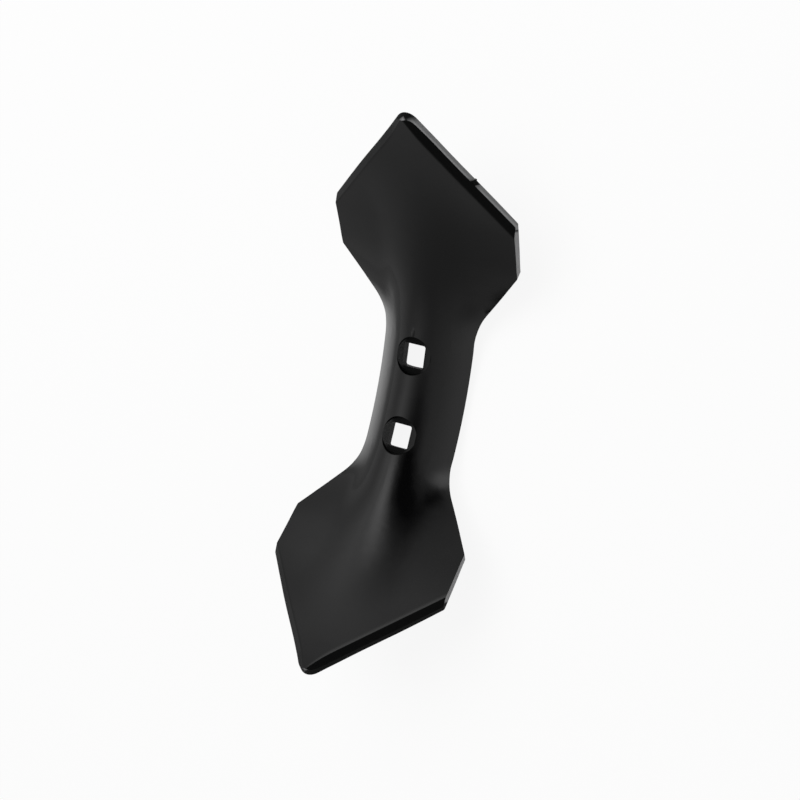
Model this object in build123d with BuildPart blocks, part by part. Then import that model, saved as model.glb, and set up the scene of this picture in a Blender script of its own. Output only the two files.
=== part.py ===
from build123d import *
import math
import os

# A reversible cultivator share: one steel plate, cut to a double-ended outline, pressed to a crowned
# shank with two spread ends, and bevelled on its four cutting edges. It lies on its back, front face up.
# X runs across the share, Y along it from one point to the other, and Z out of the front face.
# The origin is on the surface that it lies on, midway between the bolt holes. All sizes are in mm.

# Plate
plate = 6.5

# Outline, as seen from the front
point_reach = 146.5
point_radius = 8.7
heel_half_width = 55.0
heel_reach = 101.7
shoulder_half_width = 54.5
shoulder_reach = 76.3
corner_radius = 1.0
shank_half_width = 28.3
neck_angle = 39.3
neck_radius = 30.6

# Lengthwise bend of the ridge line, hollow on the front
bend_radius = 206.0

# Crown across the shank, and the softer ridge that it becomes in the spread ends
shank_slope = 1.695
shank_softness = 28.6
ridge_slope = 0.533
neck_softness = 23.4
ridge_softness = 13.8
crown_fade_start = 29.5
crown_fade_end = 83.1
neck_start = 37.9
neck_end = 58.0
ridge_fade_start = 72.0
ridge_fade_end = 131.6
ridge_start = 88.4
ridge_end = 119.9

# Valley between the ridge and each wing, where the flank eases into the flatter wing
wing_relief = 0.585
wing_start = 39.3
wing_full = 58.4
valley_offset = 33.8
valley_softness = 3.0

# Bevel on the front of each cutting edge, which narrows as it comes to the point
bevel_width = 2.8
bevel_depth = 2.9
bevel_at_point = 0.45
bevel_run_in = 16.0

# Square bolt holes, each at the bottom of a round recess for the bolt's head
hole_spacing = 45.0
hole_side = 13.2
hole_corner_radius = 1.2
recess_radius = 10.7
recess_depth = 3.0

# Small nub that the cutting torch left on one cutting edge
nub_from_heel = 27.7
nub_radius = 0.75

# How far the pressed sheet and the bevels run past the outline, and how finely their shape is followed
margin = 5.0
steps_across = 26
steps_along = 80
bevel_steps = 12

# How far the bevels' cutters run past the top and the foot of the bevel, in bevel heights
past_top = 0.5
past_foot = 2.5

# Reach of the tools that cut the outline, the bevels, the recesses and the holes
tool_reach = 60.0


def smooth_step(start, end, value):
    """Rise from 0 to 1 between start and end, level at both."""
    t = min(max((value - start) / (end - start), 0.0), 1.0)
    return t * t * (3.0 - 2.0 * t)


def eased_ramp(s):
    """A ramp that begins softly at the valley."""
    past = s - valley_offset
    return (math.hypot(past, valley_softness) + past) / 2.0


def crown_drop(x, y):
    """How far the front face lies behind the ridge line."""
    spread = smooth_step(crown_fade_start, crown_fade_end, abs(y))
    ridge = ridge_slope * (1.0 - smooth_step(ridge_fade_start, ridge_fade_end, abs(y)))
    slope = shank_slope * (1.0 - spread) + ridge * spread
    softness = shank_softness + (neck_softness - shank_softness) * smooth_step(neck_start, neck_end, abs(y))
    softness += (ridge_softness - neck_softness) * smooth_step(ridge_start, ridge_end, abs(y))
    relief = wing_relief * smooth_step(wing_start, wing_full, abs(y))
    s = math.hypot(x, softness)
    return slope * (s - softness - relief * (eased_ramp(s) - eased_ramp(softness)))


def front_rise(x, y):
    """Height of the front face above the middle of the ridge line."""
    return bend_radius - math.sqrt(bend_radius**2 - y**2) - crown_drop(x, y)


def front_normal(x, y):
    """Direction square to the front face, pointing out of it."""
    step = 0.05
    across = (front_rise(x + step, y) - front_rise(x - step, y)) / (2.0 * step)
    along = (front_rise(x, y + step) - front_rise(x, y - step)) / (2.0 * step)
    return Vector(-across, -along, 1.0).normalized()


# The share rests on the back edges of its shank, and that sets the height of the ridge line
ridge_height = plate * front_normal(shank_half_width, 0.0).Z - front_rise(shank_half_width, 0.0)


def below_front(x, y, depth=0.0):
    """A point on the front face, or depth into the plate from it."""
    return Vector(x, y, ridge_height + front_rise(x, y)) - front_normal(x, y) * depth


# Where the straight cutting edges and the straight shank would meet if nothing were rounded
point_centre = point_reach - point_radius
heel_distance = math.hypot(heel_half_width, point_centre - heel_reach)
edge_angle = math.acos(point_radius / heel_distance)
edge_angle -= math.atan2(point_centre - heel_reach, heel_half_width)
point_corner = point_centre + point_radius / math.sin(edge_angle)
neck_run = (shoulder_half_width - shank_half_width) / math.tan(math.radians(neck_angle))
neck_corner = shoulder_reach - neck_run


# Pressed sheet, a little larger than the share all round
def sheet_half_width(y):
    """Half the sheet's width, which follows the outline from the shank to the spread ends."""
    widening = smooth_step(neck_corner - margin, shoulder_reach, abs(y))
    return margin + shank_half_width + (heel_half_width - shank_half_width) * widening


half_along = point_reach + margin
sheet_points = []
for j in range(steps_along + 1):
    y = half_along * (2.0 * j / steps_along - 1.0)
    half_across = sheet_half_width(y)
    sheet_points.append(
        [below_front(half_across * (2.0 * i / steps_across - 1.0), y) for i in range(steps_across + 1)]
    )
pressed_sheet = Face.make_surface_from_array_of_points(sheet_points, tol=0.01, min_deg=3, max_deg=3)


# Blank outline, as a prism that trims the sheet
right_side = [
    (0.0, point_corner),
    (heel_half_width, heel_reach),
    (shoulder_half_width, shoulder_reach),
    (shank_half_width, neck_corner),
    (shank_half_width, -neck_corner),
    (shoulder_half_width, -shoulder_reach),
    (heel_half_width, -heel_reach),
]
left_side = [(-x, -y) for x, y in right_side]
side_radii = [point_radius, corner_radius, corner_radius, neck_radius, neck_radius, corner_radius, corner_radius]
with BuildPart() as blank:
    with BuildSketch(Plane.XY.offset(-tool_reach)):
        with BuildLine():
            FilletPolyline(*right_side, *left_side, radius=side_radii * 2, close=True)
        make_face()
    extrude(amount=3.0 * tool_reach)
trimmed_sheet = pressed_sheet.intersect(blank.part).faces()[0]


def edge_station(side, end, from_heel, inward, depth):
    """A point near one cutting edge: so far along it from the heel, inward from it, and into the plate."""
    x = heel_half_width - from_heel * math.sin(edge_angle) - inward * math.cos(edge_angle)
    y = heel_reach + from_heel * math.cos(edge_angle) - inward * math.sin(edge_angle)
    return below_front(side * x, end * y, depth)


def bevel_share(from_point):
    """How much of its full size the bevel has, so far along the edge from the point."""
    left = 1.0 - min(max(from_point / bevel_run_in, 0.0), 1.0)
    return 1.0 - (1.0 - bevel_at_point) * left**2


def bevel_sheet(side, end):
    """The bevel's surface on one cutting edge, run on past both of its long edges and both ends."""
    edge_length = heel_half_width / math.sin(edge_angle)
    inner_points = []
    outer_points = []
    for i in range(bevel_steps + 1):
        from_heel = (edge_length + 1.5 * margin) * i / bevel_steps - margin
        share_here = bevel_share(edge_length - from_heel)
        top = edge_station(side, end, from_heel, bevel_width * share_here, 0.0)
        foot = edge_station(side, end, from_heel, 0.0, bevel_depth * share_here)
        inner_points.append(top + (top - foot) * past_top)
        outer_points.append(foot + (foot - top) * past_foot)
    return Face.make_surface_from_curves(Edge.make_spline(inner_points), Edge.make_spline(outer_points))


# The nub runs square to the sheet, up the wall of its edge
nub_axis = edge_station(1, 1, nub_from_heel, 0.0, 0.0) - edge_station(1, 1, nub_from_heel, 0.0, plate)

# The share
with BuildPart() as share:
    thicken(trimmed_sheet, amount=-plate, normal_override=(0, 0, 1))
    for side in (-1, 1):
        for end in (-1, 1):
            extrude(bevel_sheet(side, end), amount=tool_reach, dir=(0, 0, 1), mode=Mode.SUBTRACT)
    for end in (-1, 1):
        centre = end * hole_spacing / 2.0
        mouth = Plane(below_front(0.0, centre), x_dir=(1, 0, 0), z_dir=front_normal(0.0, centre))
        with BuildSketch(mouth.offset(-recess_depth)):
            Circle(recess_radius)
        extrude(amount=tool_reach, mode=Mode.SUBTRACT)
        with BuildSketch(mouth.offset(-2.0 * plate)):
            RectangleRounded(hole_side, hole_side, hole_corner_radius)
        extrude(amount=tool_reach, mode=Mode.SUBTRACT)
    with BuildSketch(Plane(edge_station(1, 1, nub_from_heel, 0.0, plate), z_dir=nub_axis)):
        Circle(nub_radius)
    extrude(amount=plate - bevel_depth)

share.part.label = "share"

os.makedirs("parts", exist_ok=True)
export_step(share.part, "parts/share.step")
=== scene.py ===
import math

import bpy
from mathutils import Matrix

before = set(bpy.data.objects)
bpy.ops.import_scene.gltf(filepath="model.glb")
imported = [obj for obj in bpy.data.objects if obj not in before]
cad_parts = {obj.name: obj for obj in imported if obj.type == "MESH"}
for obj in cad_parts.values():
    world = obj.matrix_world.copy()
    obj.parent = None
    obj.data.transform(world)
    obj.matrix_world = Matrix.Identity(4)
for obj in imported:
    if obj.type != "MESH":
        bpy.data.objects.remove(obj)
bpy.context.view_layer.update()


# Small wrapper, so that a pattern can be written as a sum


class Socket:
    """One output socket, or a plain number, that sums and products can be made of."""

    def __init__(self, material, source):
        self.material = material
        self.source = source

    def _math(self, operation, first, second=None, third=None):
        return self.material.node("ShaderNodeMath", {"operation": operation}, {0: first, 1: second, 2: third})

    def __add__(self, other):
        return self._math("ADD", self, other)

    def __radd__(self, other):
        return self._math("ADD", other, self)

    def __sub__(self, other):
        return self._math("SUBTRACT", self, other)

    def __rsub__(self, other):
        return self._math("SUBTRACT", other, self)

    def __mul__(self, other):
        return self._math("MULTIPLY", self, other)

    def __rmul__(self, other):
        return self._math("MULTIPLY", other, self)

    def __truediv__(self, other):
        return self._math("DIVIDE", self, other)

    def __pow__(self, other):
        return self._math("POWER", self, other)

    def least(self, other):
        return self._math("MINIMUM", self, other)

    def most(self, other):
        return self._math("MAXIMUM", self, other)

    def size(self):
        return self._math("ABSOLUTE", self)

    def ramp(self, start, end, low=0.0, high=1.0):
        """Goes smoothly from low to high while the value goes from start to end."""
        return self.material.node(
            "ShaderNodeMapRange",
            {"interpolation_type": "SMOOTHSTEP", "clamp": True},
            {"Value": self, "From Min": start, "From Max": end, "To Min": low, "To Max": high},
        )


class Finish:
    """A material, or the studio's light, whose patterns are written as Python sums."""

    def __init__(self, owner):
        self.owner = owner
        self.owner.use_nodes = True
        self.tree = self.owner.node_tree
        self.tree.nodes.clear()

    def node(self, kind, settings=None, inputs=None, output=0):
        made = self.tree.nodes.new(kind)
        for key, value in (settings or {}).items():
            setattr(made, key, value)
        for key, value in (inputs or {}).items():
            if value is None:
                continue
            if isinstance(value, Socket):
                self.tree.links.new(value.source, made.inputs[key])
            else:
                made.inputs[key].default_value = value
        return Socket(self, made.outputs[output]) if made.outputs else None

    def axes(self, vector):
        """The three numbers of a vector."""
        return [self.node("ShaderNodeSeparateXYZ", inputs={0: vector}, output=i) for i in range(3)]

    def noise(self, place, scale, detail=2.0, stretch=None):
        """Soft cloudy pattern from 0 to 1, stretched along an axis where asked."""
        if stretch:
            place = self.node("ShaderNodeMapping", inputs={"Vector": place, "Scale": stretch})
        return self.node("ShaderNodeTexNoise", inputs={"Vector": place, "Scale": scale, "Detail": detail}, output=0)

    def bump(self, height, distance, normal=None):
        return self.node("ShaderNodeBump", inputs={"Height": height, "Distance": distance, "Normal": normal})


# Floor and light


def lay_floor():
    bpy.ops.object.select_all(action="DESELECT")
    bpy.ops.mesh.primitive_plane_add(size=30.0, location=(0.0, 0.0, -0.0004))
    floor = bpy.context.object
    floor.name = "floor"
    finish = Finish(bpy.data.materials.new("pale_floor"))
    seen = finish.node("ShaderNodeLightPath", output="Is Camera Ray")
    mirrored = finish.node("ShaderNodeLightPath", output="Is Glossy Ray")
    lit = finish.node("ShaderNodeBsdfDiffuse", inputs={"Color": (0.86, 0.86, 0.86, 1.0)})
    x, y, _ = finish.axes(finish.node("ShaderNodeTexCoord", output="Object"))
    # Painted light: for the paint's reflections the floor glows brighter round the share and dimmer beyond it
    mirrored_light_pool = ((x * x + y * y) ** 0.5).ramp(0.03, 0.14, 0.94, 0.32)
    white = finish.node(
        "ShaderNodeEmission",
        inputs={"Color": (1.0, 1.0, 1.0, 1.0), "Strength": seen + mirrored * mirrored_light_pool},
    )
    both = finish.node("ShaderNodeMixShader", inputs={0: (seen + mirrored) * 0.9, 1: lit, 2: white})
    finish.node("ShaderNodeOutputMaterial", inputs={"Surface": both})
    floor.data.materials.append(finish.owner)
    return floor


def compass(azimuth, height):
    """The direction at so many degrees round from +X and so many above the floor."""
    turn = math.radians(azimuth)
    lift = math.radians(height)
    return (math.cos(turn) * math.cos(lift), math.sin(turn) * math.cos(lift), math.sin(lift))


def light_studio():
    studio = Finish(bpy.data.worlds.new("studio"))
    bpy.context.scene.world = studio.owner
    seen = studio.node("ShaderNodeLightPath", output="Is Camera Ray")
    towards = studio.node("ShaderNodeTexCoord", output="Generated")

    def facing(azimuth, height):
        return studio.node(
            "ShaderNodeVectorMath",
            {"operation": "DOT_PRODUCT"},
            {0: towards, 1: compass(azimuth, height)},
            "Value",
        )

    low_band = facing(0.0, 90.0).size().ramp(0.0, 0.6, 0.36, 0.0)
    sideways = facing(0.0, 0.0)
    walls = low_band * (sideways * 0.5 + 0.5) + sideways * sideways * 0.28 + 0.25
    low_glow = facing(30.0, 14.0).ramp(0.93, 1.0, 0.0, 0.8)
    dark = facing(70.0, 68.7).ramp(0.64, 1.23)
    tent = walls * (1.0 - dark) - dark * 1.298
    window = facing(127.5, 66.2).ramp(0.923, 1.365, 0.0, 13.15)
    halo = facing(118.4, 69.0).ramp(0.481, 2.345, 0.0, 5.9)
    tent = (tent + window + halo + low_glow).most(0.0)
    level = studio.node("ShaderNodeMix", {"data_type": "FLOAT"}, {"Factor": seen, "A": tent, "B": 1.0})
    glow = studio.node("ShaderNodeBackground", inputs={"Color": (1.0, 1.0, 1.0, 1.0), "Strength": level})
    studio.node("ShaderNodeOutputWorld", inputs={"Surface": glow})

    # A broad lamp brings pale and matt surfaces up to a plain level. The paint doesn't mirror it.
    bpy.ops.object.select_all(action="DESELECT")
    bpy.ops.object.light_add(type="AREA", location=(-0.32, 0.50, 1.15))
    lamp = bpy.context.object
    lamp.name = "broad_lamp"
    lamp.data.size = 1.0
    lamp.data.energy = 9.0
    lamp.visible_glossy = False
    lamp.rotation_euler = (-lamp.location).to_track_quat("-Z", "Y").to_euler()


# Camera, looking down on the share from its right


def place_camera():
    bpy.ops.object.select_all(action="DESELECT")
    bpy.ops.object.camera_add(location=(0.3724276, 0.1244147, 0.7683775))
    camera = bpy.context.object
    camera.name = "camera"
    camera.rotation_euler = [math.radians(a) for a in (-3.366928, 27.825322, 11.570079)]
    camera.data.sensor_width = 36.0
    camera.data.lens = 68.0588
    camera.data.clip_start = 0.01
    bpy.context.scene.camera = camera


# Finishes


# Places on the share that its finish follows, in metres
edge_angle = math.radians(49.12)
heel_x = 0.055
heel_y = 0.1017
edge_length = heel_x / math.sin(edge_angle)
bend_radius = 0.206
hole_y = 0.0227
recess_radius = 0.0107
nub_from_heel = 0.0291


def painted_steel():
    """Satin black paint, duller on the bevels, cut edges and recesses, and worn off one cutting edge. The dullness
    on the bevels and recesses is partly painted shade, and a lighter line above the lower right bevel is a painted
    highlight.
    """
    finish = Finish(bpy.data.materials.new("black_paint"))
    place = finish.node("ShaderNodeTexCoord", output="Object")
    x, y, _ = finish.axes(place)
    facet = finish.node("ShaderNodeNewGeometry", output="True Normal")
    turned = finish.node(
        "ShaderNodeVectorTransform",
        {"vector_type": "NORMAL", "convert_from": "WORLD", "convert_to": "OBJECT"},
        {0: facet},
    )
    _, lengthwise, upwards = finish.axes(turned)
    along = y.size()
    across = x.size()

    # How far inward from the nearest cutting edge, and how far along it from the heel
    edge_line = heel_x * math.cos(edge_angle) + heel_y * math.sin(edge_angle)
    inward = edge_line - (across * math.cos(edge_angle) + along * math.sin(edge_angle))
    from_heel = (along - heel_y) * math.cos(edge_angle) - (across - heel_x) * math.sin(edge_angle)

    # 1 where the surface lies in the bent sheet, 0 on a wall square to it, less than 0 on the back
    lean = y / bend_radius
    flat = upwards * (1.0 - lean * lean) ** 0.5 - lengthwise * lean
    front = flat.ramp(0.30, 0.45)
    wall = flat.size().ramp(0.30, 0.45, 1.0, 0.0)
    right = x.ramp(-0.002, 0.002)
    upper = y.ramp(-0.002, 0.002)

    # Bevels, which narrow to the point: soft where they begin, crisp on the lower right. Their dull black is partly
    # painted shade, and a lighter line along their top on the lower right is a painted highlight
    run_in = ((from_heel - (edge_length - 0.018)) / 0.018).most(0.0)
    band = inward / (1.0 - run_in * run_in * 0.8).most(0.05)
    # The soft inner edge of this dull black is painted shade of a rounded edge, weaker on the left bevels
    soft_bevel = band.ramp(0.0042, 0.0024, 0.0, 1.0) * (right * 0.65 + 0.35)
    crisp_bevel = band.ramp(0.0030, 0.0026, 0.0, 1.0)
    crisp = right * (1.0 - upper)
    bevel = front * (soft_bevel * (1.0 - crisp) + crisp_bevel * crisp)
    # Painted highlight: a lighter, rougher line just above the crisp lower right bevel
    crest_highlight = crisp * front * band.ramp(0.0050, 0.0031, 0.0, 1.0) * (1.0 - crisp_bevel)

    # Recesses round the bolt holes get dull black: a rougher finish and painted shade in the hollow, half as strong
    # on their right side and broken on their left by grainy patches where the gloss shows
    from_hole = (x * x + (along - hole_y) ** 2.0) ** 0.5
    recess = from_hole.ramp(recess_radius + 0.0003, recess_radius - 0.0001, 0.0, 1.0)
    grain = finish.noise(place, 2600.0, 2.0)
    scuffed = x.ramp(-0.0075, -0.0050, 1.0, 0.0) * grain.ramp(0.40, 0.60, 0.2, 0.7)
    recess = recess * x.ramp(0.0045, 0.0085, 1.0, 0.5) * (1.0 - scuffed)

    # Worn strip on the upper right cutting edge, broken by the nub, and rubbed right-hand side walls
    strip = wall * right * upper * inward.ramp(0.0, -0.0005, 0.0, 1.0)
    strip = strip * from_heel.ramp(edge_length - 0.007, edge_length - 0.002, 1.0, 0.0)
    strip = strip * (from_heel - nub_from_heel).size().ramp(0.0013, 0.0017, 0.0, 1.0)
    side_wall = wall * right * inward.ramp(0.0, 0.001) * along.ramp(0.072, 0.078)
    strip = strip * inward.ramp(-0.0024, -0.0015, 0.6, 1.0)
    bare = strip.most(side_wall)
    # Dull black on the cut walls, and on the bevels and recesses, where it is partly painted shade
    dull = bevel.most(recess).most(wall)

    cloud = finish.noise(place, 220.0, 3.0)
    from_drop = ((x + 0.0006) ** 2.0 * 6.0 + (y - 0.0356) ** 2.0) ** 0.5
    drop = from_drop.ramp(0.0, 0.0035, 1.0, 0.0)
    skin = finish.bump(cloud, 0.000012, finish.bump(drop, 0.0004))
    # The gloss colour is lighter and rougher along the painted highlight above the lower right bevel
    gloss = finish.node(
        "ShaderNodeBsdfPrincipled",
        inputs={
            "Base Color": finish.node(
                "ShaderNodeMix",
                {"data_type": "RGBA"},
                {"Factor": crest_highlight, 6: (0.002, 0.002, 0.0021, 1.0), 7: (0.026, 0.026, 0.026, 1.0)},
                2,
            ),
            "Roughness": cloud * 0.06 + crest_highlight * 0.2 + 0.10,
            "Normal": skin,
        },
    )
    rough_skin = finish.bump(grain, 0.00012, facet)
    # Dull black of cut scale, also used as painted shade on the bevels and recesses
    scale_and_shade_black = finish.node(
        "ShaderNodeBsdfPrincipled",
        inputs={
            "Base Color": (0.0012, 0.0013, 0.0013, 1.0),
            "Roughness": 0.5,
            "Specular IOR Level": 0.1,
            "Normal": rough_skin,
        },
    )
    cut_steel = finish.node(
        "ShaderNodeBsdfPrincipled",
        inputs={
            "Base Color": (0.30, 0.30, 0.303, 1.0),
            "Roughness": 0.45,
            "Normal": rough_skin,
        },
    )
    painted = finish.node("ShaderNodeMixShader", inputs={0: dull, 1: gloss, 2: scale_and_shade_black})
    worn = finish.node("ShaderNodeMixShader", inputs={0: bare * (grain * 0.5 + 0.6), 1: painted, 2: cut_steel})
    finish.node("ShaderNodeOutputMaterial", inputs={"Surface": worn})
    return finish.owner


lay_floor()
light_studio()
place_camera()

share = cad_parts["share"]
paint = painted_steel()
for slot in share.material_slots:
    slot.material = paint

bpy.context.scene.view_settings.view_transform = "Standard"
